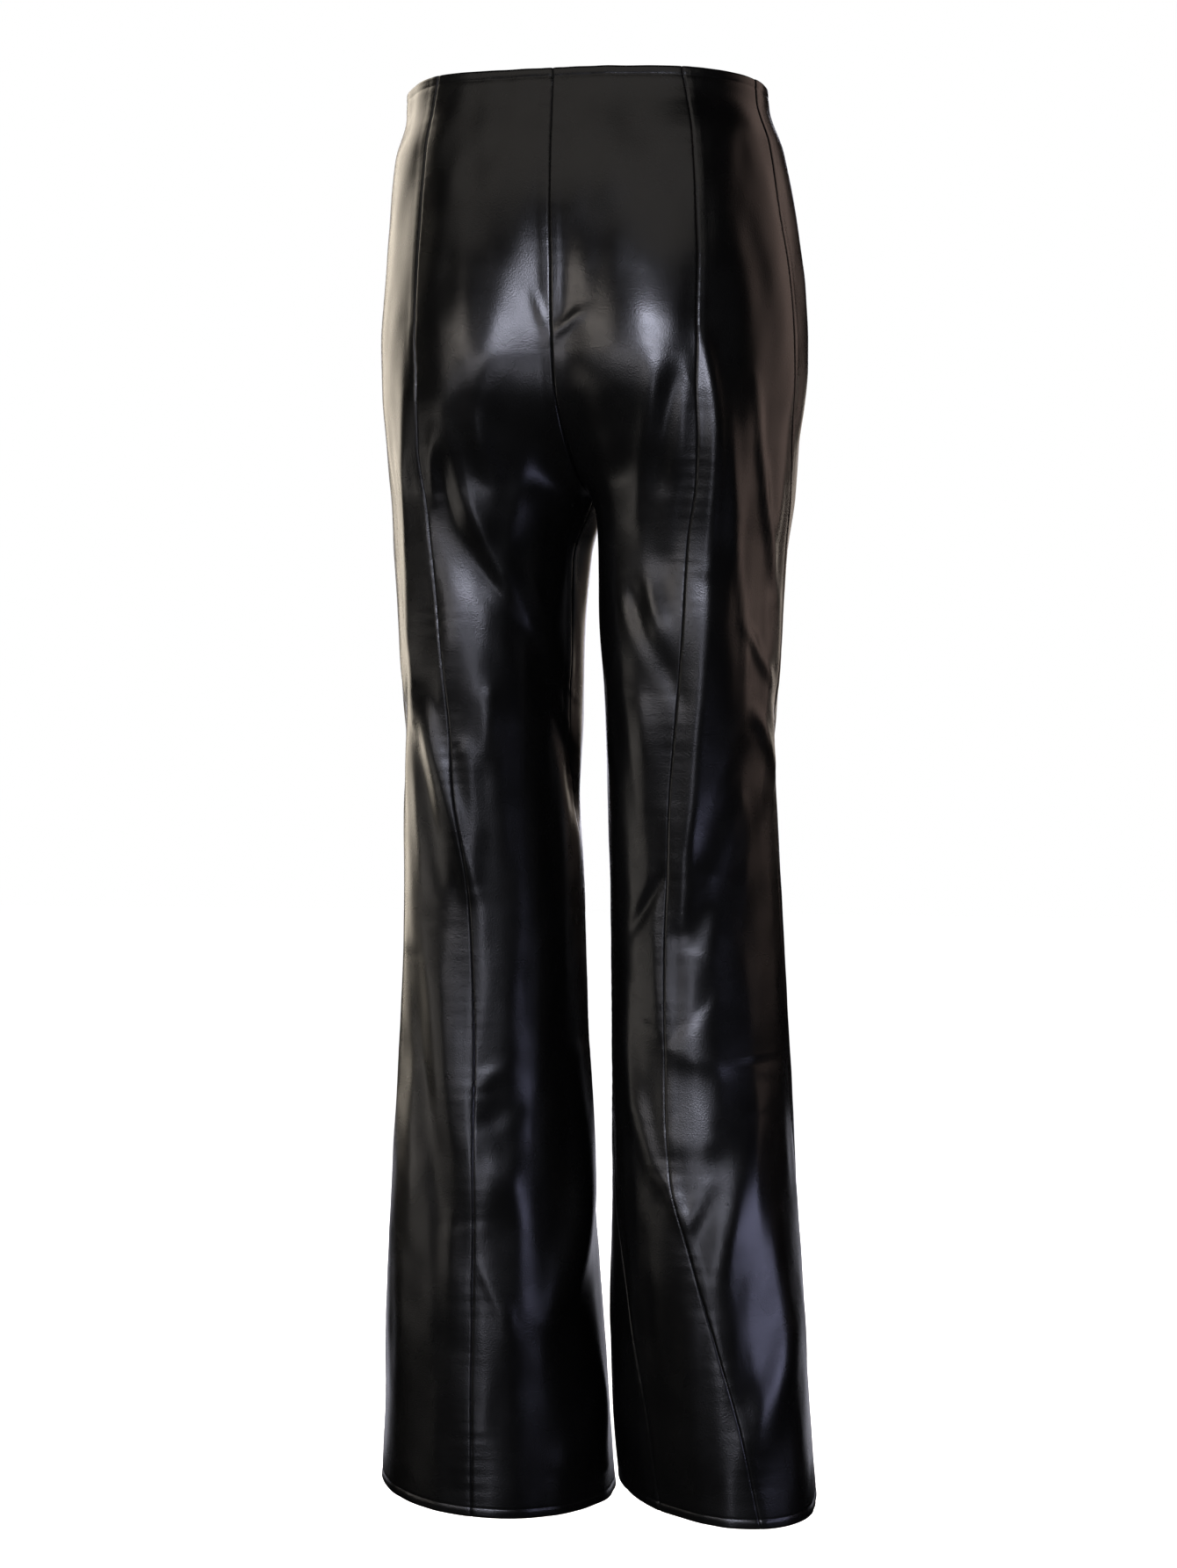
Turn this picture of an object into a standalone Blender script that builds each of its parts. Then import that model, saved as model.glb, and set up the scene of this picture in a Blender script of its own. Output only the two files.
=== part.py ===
"""Faux leather wide-leg trousers, filled out as they are worn.

Metres, +Z up. The front faces -Y and the wearer's left leg is at +X. The origin is the middle of
the waist opening. Each panel that a maker cuts is one object: a thin wall, lofted through sections
from the waist down to the hem and creased by the folds in a table.
"""

import math

import bmesh
import bpy
import numpy as np

# Driving sizes, in metres
RISE = 0.300  # waist to crotch, straight down
SEAT_DROP = 0.205  # above this drop both halves follow one hip section
CLOTH = 0.0015  # coated cloth with its knitted backing
SEAM_GAP = 0.0003
MIDLINE_GAP = 0.0006  # more room between the two halves
CLEFT_HALF_WIDTH = 0.040  # of the seat's groove
CROTCH_ARCH_TURN = math.radians(22)  # how far round each leg the crotch draws the cloth in
CROTCH_ARCH_DROP = 0.010  # and how far down
CROWDING = 0.8  # how strongly the columns crowd towards the centre seams over the seat

# Rows down a panel, and columns across each one
HIP_ROWS = 11
CROTCH_ROWS = 6
ARCH_ROWS = 4
LEG_ROWS = 40
ARCH_SHARE = 0.035  # of the leg's length, where the rows lie closer
PANEL_COLUMNS = {"back_centre": 8, "back_side": 7, "front": 12}

# Hip sections. drop: below the waist. sway: of the section's middle towards +X. squareness: the
# exponent of the outline, 2 for an ellipse. princess: the seam's distance from the middle.
# side: the side seam's place round from the back, in degrees. cleft: depth of the seat's groove.
HIP_COLUMNS = ("drop", "sway", "half_width", "back", "front", "squareness", "princess", "side", "cleft")
HIP = (
    (0.000, 0.000, 0.1347, 0.083, 0.082, 2.45, 0.091, 80, 0.000),
    (0.018, -0.001, 0.1350, 0.088, 0.083, 2.45, 0.094, 80, 0.000),
    (0.050, -0.003, 0.1443, 0.098, 0.086, 2.45, 0.099, 79, 0.000),
    (0.100, -0.006, 0.1503, 0.1132, 0.088, 2.40, 0.102, 79, 0.003),
    (0.150, -0.008, 0.1547, 0.1236, 0.089, 2.40, 0.104, 80, 0.011),
    (0.190, -0.008, 0.1569, 0.1264, 0.090, 2.40, 0.104, 81, 0.016),
    (0.230, -0.008, 0.1559, 0.1248, 0.091, 2.40, 0.103, 83, 0.018),
    (0.265, -0.009, 0.1526, 0.1190, 0.092, 2.40, 0.102, 86, 0.018),
    (0.300, -0.011, 0.1500, 0.1110, 0.093, 2.40, 0.098, 88, 0.018),
)

# Leg sections. out: the middle's distance from the midline. fore: towards -Y. yaw: the back's turn
# outwards, in degrees. inseam, princess and side: each seam's place round the leg from its back,
# outwards, in degrees.
LEG_COLUMNS = (
    "drop", "out", "fore", "half_width", "back", "front", "squareness", "yaw", "inseam", "princess", "side",
)
LEFT_LEG = (
    (0.200, 0.0693, -0.004, 0.0790, 0.112, 0.090, 2.2, 0, -80, 20, 88),
    (0.265, 0.0693, 0.002, 0.0780, 0.1035, 0.086, 2.2, 0, -80, 20, 88),
    (0.300, 0.0685, 0.006, 0.0768, 0.0980, 0.083, 2.2, 0, -80, 18, 87),
    (0.340, 0.0734, 0.008, 0.0705, 0.0935, 0.080, 2.2, 0, -78, 13, 86),
    (0.400, 0.0745, 0.010, 0.0662, 0.0895, 0.077, 2.2, 0, -81, 9, 85),
    (0.460, 0.0751, 0.0130, 0.0645, 0.0865, 0.075, 2.2, 0, -82, 5, 84),
    (0.520, 0.0773, 0.0170, 0.0635, 0.0840, 0.075, 2.2, 0, -94, 1, 82),
    (0.600, 0.0776, 0.0220, 0.0656, 0.0815, 0.077, 2.2, 0, -107, -5, 80),
    (0.700, 0.0788, 0.0260, 0.0686, 0.0825, 0.080, 2.2, 0, -111, -8, 77),
    (0.800, 0.0808, 0.0280, 0.0730, 0.0875, 0.085, 2.2, 0, -111, -9, 74),
    (0.900, 0.0808, 0.0290, 0.0790, 0.0915, 0.090, 2.1, 0, -110, -9, 72),
    (0.970, 0.0788, 0.0295, 0.0832, 0.095, 0.093, 2.0, 0, -109, -8, 71),
    (1.045, 0.0766, 0.0300, 0.0876, 0.098, 0.096, 2.0, 0, -108, -7, 70),
)
RIGHT_LEG = (
    (0.200, 0.0820, -0.004, 0.0770, 0.112, 0.090, 2.2, 0, -80, 20, 86),
    (0.265, 0.0810, 0.002, 0.0745, 0.1035, 0.086, 2.2, 0, -80, 20, 88),
    (0.300, 0.0822, 0.006, 0.0702, 0.0980, 0.083, 2.2, 0, -80, 18, 92),
    (0.340, 0.0800, 0.008, 0.0665, 0.0935, 0.080, 2.2, 0, -80, 15, 97),
    (0.400, 0.0780, 0.010, 0.0638, 0.0895, 0.077, 2.2, 0, -81, 13, 99),
    (0.460, 0.0785, 0.0130, 0.0608, 0.0865, 0.075, 2.2, 0, -82, 8, 99),
    (0.520, 0.0780, 0.0170, 0.0595, 0.0840, 0.075, 2.2, 0, -83, 3, 98),
    (0.600, 0.0785, 0.0220, 0.0605, 0.0815, 0.077, 2.2, 1, -83, -2, 96),
    (0.700, 0.0810, 0.0260, 0.0642, 0.0825, 0.082, 2.2, 5, -82, -9, 92),
    (0.800, 0.0830, 0.0280, 0.0675, 0.094, 0.092, 2.2, 14, -76, -17, 89),
    (0.850, 0.0835, 0.0285, 0.0688, 0.098, 0.096, 2.2, 20, -70, -14, 88),
    (0.910, 0.0847, 0.0290, 0.0705, 0.102, 0.100, 2.1, 25, -63, -9, 88),
    (0.970, 0.0872, 0.0295, 0.0705, 0.106, 0.104, 2.0, 28, -58, -3, 88),
    (1.045, 0.0931, 0.0300, 0.0690, 0.110, 0.106, 2.0, 30, -57, 2, 88),
)

# Hem edges: the drop all round, and how much lower it lies at the back and at the outer side
HEM = {"left": (1.0336, 0.006, -0.007), "right": (1.0285, 0.007, 0.002)}
# Waist edge: how far it rises above the level at the centre back, the princess seam and the side
WAIST_RISE = {"left": (0.0, 0.003, 0.0), "right": (0.0, -0.002, -0.0035)}

# Soft swells over the body under the cloth, or hollows where the height is below 0. view, across and
# drop place the middle as FOLDS does
SWELL_COLUMNS = ("view", "across", "drop", "half_across", "half_drop", "height")
SWELLS = (
    ("back", -0.060, 0.200, 0.036, 0.045, 0.0015),
    ("back", 0.052, 0.195, 0.036, 0.045, 0.0014),
    ("back", 0.093, 0.285, 0.022, 0.050, 0.0060),
    ("back", 0.092, 0.385, 0.022, 0.075, 0.0070),
    ("back", 0.088, 0.500, 0.024, 0.090, 0.0050),
    ("back", -0.095, 0.418, 0.020, 0.045, 0.0022),
    ("back", 0.049, 0.405, 0.014, 0.027, 0.0030),
    ("back", 0.050, 0.353, 0.022, 0.032, -0.0030),
    ("back", 0.085, 0.718, 0.034, 0.050, 0.0030),
    ("back", -0.060, 0.800, 0.018, 0.020, 0.0030),
)

# The largest folds, each a soft ridge, or a trough where its height is below 0. A fold is placed by
# where it shows in a level view from one of four sides, named here with its direction in degrees
# round from the front: across is to the right in that view, and the fold runs through a start, a
# middle and an end.
FOLD_STEPS = 16
FOLD_REACH = 2.5  # in half widths, past which a fold adds nothing
FOLD_END = 0.06  # how far into its rise a fold starts and ends
FULL_FACING = 0.35  # how squarely the surface faces the view where a fold has its whole height
VIEW_TURN = {"front": 16.7, "left": 106.7, "back": 196.7, "right": 286.7}
FOLD_COLUMNS = (
    "view", "across_0", "drop_0", "across_1", "drop_1", "across_2", "drop_2", "half_width", "height", "lean",
)
FOLDS = (
    ("back", -0.104, 0.306, -0.074, 0.358, -0.017, 0.437, 0.0120, -0.0036, 0.4),
    ("back", -0.101, 0.262, -0.083, 0.312, -0.062, 0.355, 0.008, 0.0030, 0.0),
    ("back", -0.121, 0.447, -0.106, 0.500, -0.083, 0.588, 0.0085, 0.0055, 0.0),
    ("back", -0.1285, 0.190, -0.1285, 0.313, -0.1240, 0.460, 0.0080, 0.0032, 0.0),
    ("back", -0.104, 0.615, -0.097, 0.718, -0.084, 0.828, 0.016, 0.0045, 0.0),
    ("back", -0.128, 0.640, -0.118, 0.734, -0.104, 0.828, 0.009, -0.0025, 0.0),
    ("back", -0.002, 0.715, -0.004, 0.815, -0.019, 0.900, 0.0115, 0.0095, 0.0),
    ("back", -0.082, 0.757, -0.066, 0.752, -0.042, 0.738, 0.010, -0.0013, 0.0),
    ("back", 0.048, 0.210, 0.0455, 0.258, 0.036, 0.318, 0.008, 0.0032, 0.0),
    ("back", 0.069, 0.226, 0.058, 0.245, 0.053, 0.298, 0.009, -0.0026, 0.0),
    ("back", 0.082, 0.200, 0.089, 0.265, 0.0845, 0.359, 0.006, 0.0042, 0.0),
    ("back", 0.028, 0.368, 0.0425, 0.402, 0.0665, 0.452, 0.0075, -0.0028, 0.0),
    ("back", 0.118, 0.477, 0.095, 0.531, 0.083, 0.575, 0.010, -0.0040, 0.0),
    ("back", 0.130, 0.531, 0.088, 0.597, 0.072, 0.632, 0.012, -0.0022, 0.0),
    ("back", 0.059, 0.694, 0.077, 0.705, 0.102, 0.708, 0.024, 0.0022, -0.6),
    ("back", 0.055, 0.759, 0.077, 0.766, 0.0995, 0.759, 0.022, 0.0014, -0.55),
    ("back", 0.128, 0.723, 0.114, 0.795, 0.094, 0.862, 0.0140, 0.0040, 0.0),
    ("back", 0.150, 0.890, 0.135, 0.940, 0.118, 0.985, 0.013, 0.0038, 0.0),
    ("back", 0.0275, 0.657, 0.035, 0.735, 0.0525, 0.795, 0.007, 0.0035, 0.0),
    ("front", -0.120, 0.255, -0.075, 0.300, -0.025, 0.318, 0.014, -0.0040, 0.0),
    ("front", 0.120, 0.250, 0.070, 0.292, 0.022, 0.315, 0.013, -0.0035, 0.0),
    ("front", -0.050, 0.470, -0.075, 0.520, -0.115, 0.545, 0.014, -0.0040, 0.0),
    ("front", 0.040, 0.500, 0.075, 0.530, 0.110, 0.575, 0.013, -0.0040, 0.0),
    ("front", -0.040, 0.760, -0.062, 0.850, -0.060, 0.960, 0.016, 0.0045, 0.0),
    ("front", 0.090, 0.700, 0.105, 0.820, 0.125, 0.940, 0.015, 0.0045, 0.0),
    ("left", 0.020, 0.420, -0.020, 0.500, -0.045, 0.560, 0.013, -0.0040, 0.0),
    ("right", -0.030, 0.430, 0.010, 0.500, 0.040, 0.540, 0.013, -0.0040, 0.0),
)


def curve_through(columns, rows):
    """Column name -> a smooth function of drop through the table's rows, with no overshoot."""
    table = np.array(rows, float)
    drop = table[:, 0]
    step = np.diff(drop)

    def column(values):
        slope = np.diff(values) / step
        tangent = np.zeros(len(values))
        tangent[0], tangent[-1] = slope[0], slope[-1]
        same_way = slope[1:] * slope[:-1] > 0
        total = np.where(same_way, slope[1:] + slope[:-1], 1.0)
        tangent[1:-1] = np.where(same_way, 2 * slope[1:] * slope[:-1] / total, 0.0)

        def value(at):
            at = np.clip(at, drop[0], drop[-1])
            i = np.clip(np.searchsorted(drop, at, side="right") - 1, 0, len(step) - 1)
            t = (at - drop[i]) / step[i]
            return (
                values[i] * (1 + 2 * t) * (1 - t) ** 2
                + values[i + 1] * t * t * (3 - 2 * t)
                + step[i] * t * (1 - t) * ((1 - t) * tangent[i] - t * tangent[i + 1])
            )

        return value

    return {name: column(table[:, k]) for k, name in enumerate(columns) if k}


def smooth(t):
    t = np.clip(t, 0.0, 1.0)
    return t * t * (3 - 2 * t)


def rounded(value, exponent):
    """The outline's coordinate for a sine or cosine, squarer than an ellipse above exponent 2."""
    return np.sign(value) * np.abs(value) ** (2 / exponent)


HIP_CURVE = curve_through(HIP_COLUMNS, HIP)
LEG_CURVE = {"left": curve_through(LEG_COLUMNS, LEFT_LEG), "right": curve_through(LEG_COLUMNS, RIGHT_LEG)}
SIDE_SIGN = {"left": 1.0, "right": -1.0}


def seams_round_hip(drop):
    """Places of the centre back, princess, side and centre front seams, in degrees from the back."""
    share = HIP_CURVE["princess"](drop) / HIP_CURVE["half_width"](drop)
    princess = np.degrees(np.arcsin(share ** (HIP_CURVE["squareness"](drop) / 2)))
    return np.zeros_like(drop), princess, HIP_CURVE["side"](drop), np.full_like(drop, 180.0)


def seams_round_leg(leg, drop):
    """Places of the inseam, princess and side seams and the inseam again, in degrees from the back."""
    curve = LEG_CURVE[leg]
    inseam = curve["inseam"](drop)
    return inseam, curve["princess"](drop), curve["side"](drop), inseam + 360.0


def between(seams, panel, share):
    """The place a share of the way across a panel, from the seam nearer the back."""
    first = {"back_centre": 0, "back_side": 1, "front": 2}[panel]
    return np.radians(seams[first] * (1 - share) + seams[first + 1] * share)


def hip_point(leg, panel, share, drop):
    """A point of one hip section."""
    turn = between(seams_round_hip(drop), panel, share)
    exponent = HIP_CURVE["squareness"](drop)
    across = HIP_CURVE["half_width"](drop) * rounded(np.sin(turn), exponent)
    depth = np.where(np.cos(turn) > 0, HIP_CURVE["back"](drop), HIP_CURVE["front"](drop))
    along = depth * rounded(np.cos(turn), exponent)
    cleft = HIP_CURVE["cleft"](drop) * np.exp(-((across / CLEFT_HALF_WIDTH) ** 2)) * (np.cos(turn) > 0)
    x = SIDE_SIGN[leg] * across + HIP_CURVE["sway"](drop)
    return np.stack([x, along - cleft, -drop], axis=-1)


def leg_point(leg, panel, share, drop):
    """A point of one leg section."""
    curve = LEG_CURVE[leg]
    turn = between(seams_round_leg(leg, drop), panel, share)
    exponent = curve["squareness"](drop)
    across = curve["half_width"](drop) * rounded(np.sin(turn), exponent)
    depth = np.where(np.cos(turn) > 0, curve["back"](drop), curve["front"](drop))
    along = depth * rounded(np.cos(turn), exponent)
    yaw = np.radians(curve["yaw"](drop))
    out = curve["out"](drop) + across * np.cos(yaw) + along * np.sin(yaw)
    back = along * np.cos(yaw) - across * np.sin(yaw) - curve["fore"](drop)
    # The inseam starts on the midline, at the crotch, and leaves it in a small arch
    from_inseam = (turn - np.radians(curve["inseam"](drop)) + math.pi) % (2 * math.pi) - math.pi
    pull = np.exp(-((from_inseam / CROTCH_ARCH_TURN) ** 2) - np.clip(drop - RISE, 0, None) / CROTCH_ARCH_DROP)
    midline = HIP_CURVE["sway"](np.full_like(drop, RISE))
    x = SIDE_SIGN[leg] * out * (1 - pull) + midline * pull
    return np.stack([x, back, -drop], axis=-1)


def near_midline(panel, share):
    """1 at the centre seams, and 0 from most of the way to the next seam."""
    toward = {"back_centre": 1 - share / 0.8, "back_side": 0 * share, "front": (share - 0.45) / 0.55}
    return smooth(toward[panel]) ** 2


def row_drop(leg, panel, share, row):
    """How far down a point lies. row runs 0 to 1 over the hips, to 2 at the crotch and 3 at the hem."""
    centre, princess, side = WAIST_RISE[leg]
    ends = {"back_centre": (centre, princess), "back_side": (princess, side), "front": (side, 0.0)}[panel]
    waist = -(ends[0] + (ends[1] - ends[0]) * smooth(share))
    crotch_share = np.clip(row - 1, 0, 1)
    dip = np.sin(np.pi / 2 * crotch_share) - crotch_share
    in_crotch = SEAT_DROP + (RISE - SEAT_DROP) * (crotch_share + dip * near_midline(panel, share))
    low_back, low_side = HEM[leg][1:]
    turn = between(seams_round_leg(leg, np.full_like(row, HEM[leg][0])), panel, share)
    hem = HEM[leg][0] + low_back * np.cos(turn) + low_side * np.sin(turn)
    on_hip = waist + (SEAT_DROP - waist) * np.clip(row, 0, 1)
    on_leg = RISE + (hem - RISE) * np.clip(row - 2, 0, 1)
    return np.where(row <= 1, on_hip, np.where(row <= 2, in_crotch, on_leg))


def smooth_point(leg, panel, share, row):
    """A point of the outer surface before it is creased."""
    share, row = np.broadcast_arrays(share, row)
    drop = row_drop(leg, panel, share, row)
    # The columns crowd towards the centre seams over the seat, to lie above their places on the leg
    crowding = {"back_centre": -CROWDING, "back_side": 0.0, "front": CROWDING}[panel] * smooth(row)
    hip = hip_point(leg, panel, share + crowding * share * (1 - share), np.clip(drop, 0, None))
    hip[..., 2] = -drop
    # The hip section turns into the leg's ring: evenly outside, and round the crotch curve inside
    crotch_share = np.clip(row - 1, 0, 1)
    inside = near_midline(panel, share)
    legness = smooth(crotch_share) * (1 - inside) + (1 - np.cos(np.pi / 2 * crotch_share)) * inside
    legness = legness[..., None]
    return hip * (1 - legness) + leg_point(leg, panel, share, drop) * legness


def smooth_normal(leg, panel, share, row):
    """The way out of the surface, level across the midline wherever the two halves meet."""
    step = 0.004
    low, high = np.clip(share - step, 0, 1), np.clip(share + step, 0, 1)
    across = smooth_point(leg, panel, high, row) - smooth_point(leg, panel, low, row)
    low, high = np.clip(row - step, 0, 3), np.clip(row + step, 0, 3)
    down = smooth_point(leg, panel, share, high) - smooth_point(leg, panel, share, low)
    normal = np.cross(across, down) * SIDE_SIGN[leg]
    from_midline = {"back_centre": share, "back_side": 1 + share, "front": 1 - share}[panel]
    normal[..., 0] *= np.where((row <= 2) & (from_midline < 1e-6), 0.0, 1.0)
    return normal / np.linalg.norm(normal, axis=-1, keepdims=True)


def level_view(view):
    """The directions towards the viewer and to the viewer's right."""
    turn = math.radians(VIEW_TURN[view])
    return np.array([math.sin(turn), -math.cos(turn), 0.0]), np.array([math.cos(turn), math.sin(turn), 0.0])


def swell_height(points, normals):
    """How far the swells raise the surface at each point."""
    total = np.zeros(points.shape[:-1])
    for row in SWELLS:
        swell = dict(zip(SWELL_COLUMNS, row))
        to_viewer, right = level_view(swell["view"])
        across = (points @ right - swell["across"]) / swell["half_across"]
        down = (-points[..., 2] - swell["drop"]) / swell["half_drop"]
        total += swell["height"] * smooth(normals @ to_viewer / FULL_FACING) * np.exp(-(across**2) - down**2)
    return total


def fold_height(points, normals):
    """How far the folds raise the surface at each point."""
    total = np.zeros(points.shape[:-1])
    for row in FOLDS:
        fold = dict(zip(FOLD_COLUMNS, row))
        to_viewer, right = level_view(fold["view"])
        start, middle, end = (np.array([fold[f"across_{k}"], fold[f"drop_{k}"]]) for k in range(3))
        t = np.linspace(0, 1, FOLD_STEPS + 1)[:, None]
        control = 2 * middle - (start + end) / 2
        path = (1 - t) ** 2 * start + 2 * t * (1 - t) * control + t**2 * end
        step = np.diff(path, axis=0)
        seen = np.stack([points @ right, -points[..., 2]], axis=-1)
        reach = FOLD_REACH * fold["half_width"] * (1 + abs(fold["lean"]))
        near = ((seen > path.min(axis=0) - reach) & (seen < path.max(axis=0) + reach)).all(axis=-1)
        near &= normals @ to_viewer > 0
        if not near.any():
            continue
        offset = seen[near][:, None, :] - path[:-1]
        along = np.clip((offset * step).sum(axis=-1) / (step**2).sum(axis=-1), 0, 1)
        away = offset - along[..., None] * step
        distance = np.linalg.norm(away, axis=-1)
        nearest = distance.argmin(axis=-1)
        each = np.arange(len(nearest))
        place = (nearest + along[each, nearest]) / FOLD_STEPS
        beside = away[each, nearest]
        run = step[nearest]
        side = np.sign(run[:, 0] * beside[:, 1] - run[:, 1] * beside[:, 0])
        width = fold["half_width"] * (1 + side * fold["lean"])
        taper = np.sin(np.pi * (FOLD_END + (1 - 2 * FOLD_END) * place)) ** 0.8
        facing = smooth(normals[near] @ to_viewer / FULL_FACING)
        total[near] += fold["height"] * facing * taper * np.exp(-((distance[each, nearest] / width) ** 2))
    return total


def panel_rows():
    hips = np.linspace(0, 1, HIP_ROWS, endpoint=False)
    crotch = np.linspace(1, 2, CROTCH_ROWS, endpoint=False)
    arch = 2 + ARCH_SHARE * np.linspace(0, 1, ARCH_ROWS, endpoint=False) ** 1.5
    legs = np.linspace(2 + ARCH_SHARE, 3, LEG_ROWS + 1)
    return np.concatenate([hips, crotch, arch, legs])


def panel_sheets(leg, panel):
    """The outer and the inner points of a panel, as grids of rows by columns."""
    rows = panel_rows()
    shares = np.linspace(0, 1, PANEL_COLUMNS[panel] + 1)
    share, row = np.meshgrid(shares, rows)
    outer = smooth_point(leg, panel, share, row)
    normals = smooth_normal(leg, panel, share, row)
    outer += normals * (swell_height(outer, normals) + fold_height(outer, normals))[..., None]
    # Each edge stops short of its seam
    for edge, inside in ((0, 1), (-1, -2)):
        inwards = outer[:, inside] - outer[:, edge]
        outer[:, edge] += inwards * (SEAM_GAP / 2) / np.linalg.norm(inwards, axis=-1, keepdims=True)
    if panel != "back_side":
        centre_edge = 0 if panel == "back_centre" else -1
        outer[rows <= 2, centre_edge, 0] += SIDE_SIGN[leg] * MIDLINE_GAP / 2
    return outer, outer - normals * CLOTH


def panel_wall(leg, panel, material, collection):
    """One panel as a closed wall: two grids whose edges are bridged."""
    mesh = bmesh.new()
    outer, inner = panel_sheets(leg, panel)
    row_count, column_count = outer.shape[:2]
    sheets = []
    for points in (outer, inner):
        grid = bmesh.ops.create_grid(mesh, x_segments=column_count - 1, y_segments=row_count - 1, size=0.5)
        for vertex in grid["verts"]:
            column = round((vertex.co.x + 0.5) * (column_count - 1))
            row = round((vertex.co.y + 0.5) * (row_count - 1))
            vertex.co = points[row, column]
        sheets.append(grid["verts"])
    edges = [edge for edge in mesh.edges if edge.is_boundary]
    bmesh.ops.bridge_loops(mesh, edges=edges)
    bmesh.ops.recalc_face_normals(mesh, faces=mesh.faces)
    name = f"{panel}_{leg}"
    data = bpy.data.meshes.new(name)
    mesh.to_mesh(data)
    mesh.free()
    data.materials.append(material)
    data.shade_smooth()
    wall = bpy.data.objects.new(name, data)
    collection.objects.link(wall)
    return wall


def faux_leather():
    material = bpy.data.materials.new("black_faux_leather")
    material.use_nodes = True
    shader = material.node_tree.nodes["Principled BSDF"]
    shader.inputs["Base Color"].default_value = (0.010, 0.010, 0.011, 1.0)
    shader.inputs["Roughness"].default_value = 0.36
    shader.inputs["Metallic"].default_value = 0.0
    return material


def main():
    for old in list(bpy.data.objects):
        bpy.data.objects.remove(old, do_unlink=True)
    trousers = bpy.data.collections.new("wide_leg_trousers")
    bpy.context.scene.collection.children.link(trousers)
    leather = faux_leather()
    for leg in SIDE_SIGN:
        for panel in PANEL_COLUMNS:
            panel_wall(leg, panel, leather, trousers)


if __name__ == "__main__":
    main()
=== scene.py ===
"""Faux leather wide-leg trousers, dressed: coated cloth with its seams, puckers, folds and hems.

Metres, +Z up, in the frame of the trousers' solids: the front faces -Y, the wearer's left leg is at
+X and the origin is the middle of the waist opening. Every panel repeats the solids' own form and
adds the smaller folds, the sewing and the finish.
"""

import math

import bpy
import numpy as np
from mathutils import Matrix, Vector


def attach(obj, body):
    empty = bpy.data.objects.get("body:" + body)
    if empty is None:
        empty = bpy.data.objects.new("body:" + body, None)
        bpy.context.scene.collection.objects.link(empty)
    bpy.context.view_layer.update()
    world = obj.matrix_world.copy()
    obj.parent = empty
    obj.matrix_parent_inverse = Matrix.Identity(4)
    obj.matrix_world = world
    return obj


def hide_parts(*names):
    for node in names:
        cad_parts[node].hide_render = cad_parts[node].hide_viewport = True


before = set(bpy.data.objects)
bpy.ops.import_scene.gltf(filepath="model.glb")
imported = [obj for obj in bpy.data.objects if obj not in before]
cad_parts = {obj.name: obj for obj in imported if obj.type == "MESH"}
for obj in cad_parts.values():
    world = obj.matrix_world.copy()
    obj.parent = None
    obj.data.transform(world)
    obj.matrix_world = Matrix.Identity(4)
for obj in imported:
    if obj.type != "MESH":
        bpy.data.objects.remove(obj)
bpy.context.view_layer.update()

# Driving sizes, in metres
RISE = 0.300  # waist to crotch, straight down
SEAT_DROP = 0.205  # above this drop both halves follow one hip section
CLOTH = 0.0015  # coated cloth with its knitted backing
CLEFT_HALF_WIDTH = 0.040  # of the seat's groove
CROTCH_ARCH_TURN = math.radians(22)  # how far round each leg the crotch draws the cloth in
CROTCH_ARCH_DROP = 0.010  # and how far down
CROWDING = 0.8  # how strongly the columns crowd towards the centre seams over the seat
# How far across each panel, from its centre seam, the crotch's curve reaches
CENTRE_REACH = {"back_centre": 0.80, "front": 0.55}

# Hip sections. drop: below the waist. sway: of the section's middle towards +X. squareness: the
# exponent of the outline, 2 for an ellipse. princess: the seam's distance from the middle.
# side: the side seam's place round from the back, in degrees. cleft: depth of the seat's groove.
HIP_COLUMNS = ("drop", "sway", "half_width", "back", "front", "squareness", "princess", "side", "cleft")
HIP = (
    (0.000, 0.000, 0.1347, 0.083, 0.082, 2.45, 0.091, 80, 0.000),
    (0.018, -0.001, 0.1350, 0.088, 0.083, 2.45, 0.094, 80, 0.000),
    (0.050, -0.003, 0.1443, 0.098, 0.086, 2.45, 0.099, 79, 0.000),
    (0.100, -0.006, 0.1503, 0.1132, 0.088, 2.40, 0.102, 79, 0.003),
    (0.150, -0.008, 0.1547, 0.1236, 0.089, 2.40, 0.104, 80, 0.011),
    (0.190, -0.008, 0.1569, 0.1264, 0.090, 2.40, 0.104, 81, 0.016),
    (0.230, -0.008, 0.1559, 0.1248, 0.091, 2.40, 0.103, 83, 0.018),
    (0.265, -0.009, 0.1526, 0.1190, 0.092, 2.40, 0.102, 86, 0.018),
    (0.300, -0.011, 0.1500, 0.1110, 0.093, 2.40, 0.098, 88, 0.018),
)

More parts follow.
